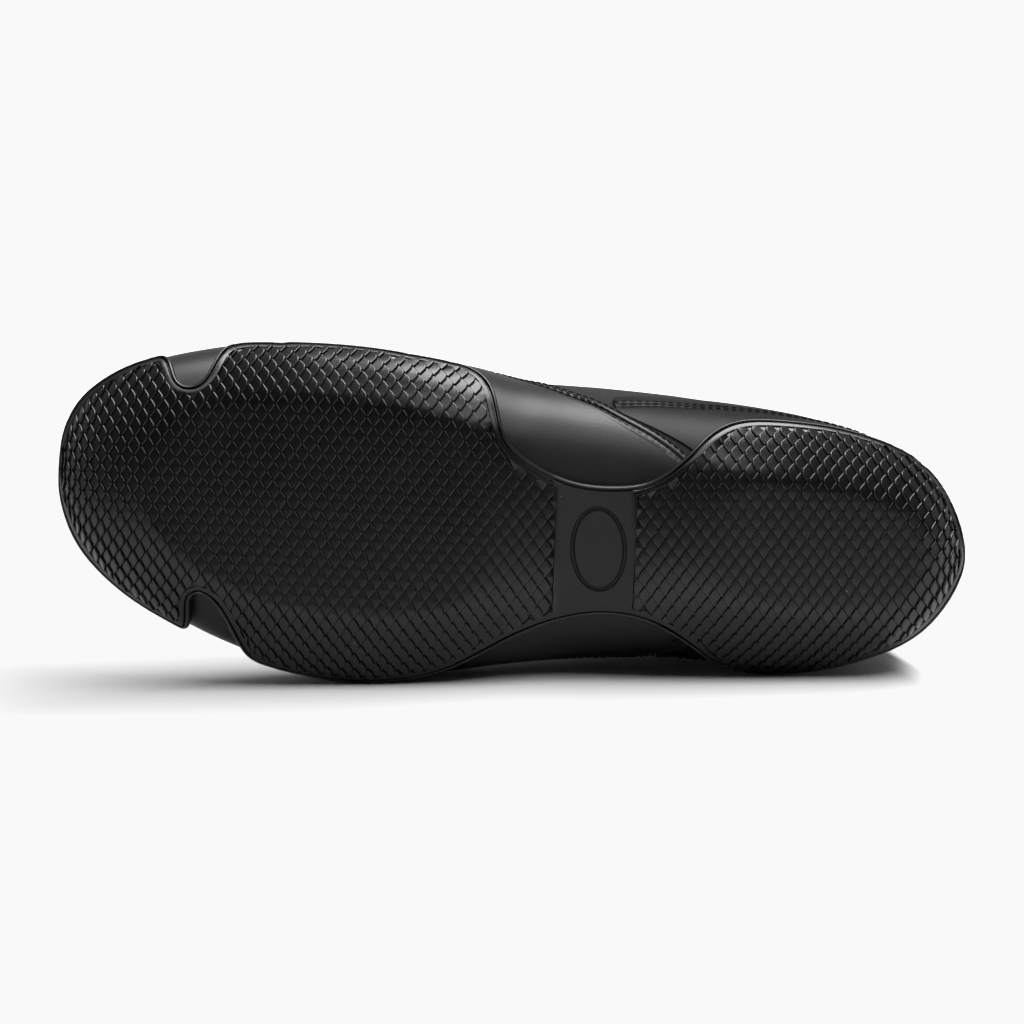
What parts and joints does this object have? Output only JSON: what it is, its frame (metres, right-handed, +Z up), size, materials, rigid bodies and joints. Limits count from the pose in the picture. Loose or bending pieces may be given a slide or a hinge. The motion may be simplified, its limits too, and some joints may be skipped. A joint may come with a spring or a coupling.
{
  "type": "boxing shoe",
  "caption": "Right boxing shoe lying on its outer side: cupped rubber outsole with narrow waist and side notches, hollow ankle-high upper, leather panels, tongue, insole and crossed lace.",
  "frame": {"origin": "on the floor under the middle of the lying shoe's box", "axes": "+X from toe to heel, +Y from the sole towards the collar, +Z up from the floor towards the inner side of the shoe"},
  "size_m": [0.2836, 0.1672, 0.108],
  "materials": {
    "rubber": "satin moulded black rubber",
    "leather": "smooth semi-gloss black synthetic leather",
    "textile": "matt black woven textile",
    "foam": "dark grey brushed fabric on foam",
    "cord": "matt black braided cord"
  },
  "bodies": {
    "root": {"outsole": "rubber", "upper": "textile", "front_panel": "leather", "heel_panel": "leather", "tongue": "textile", "insole": "foam", "lace": "cord"}
  },
  "joints": []
}
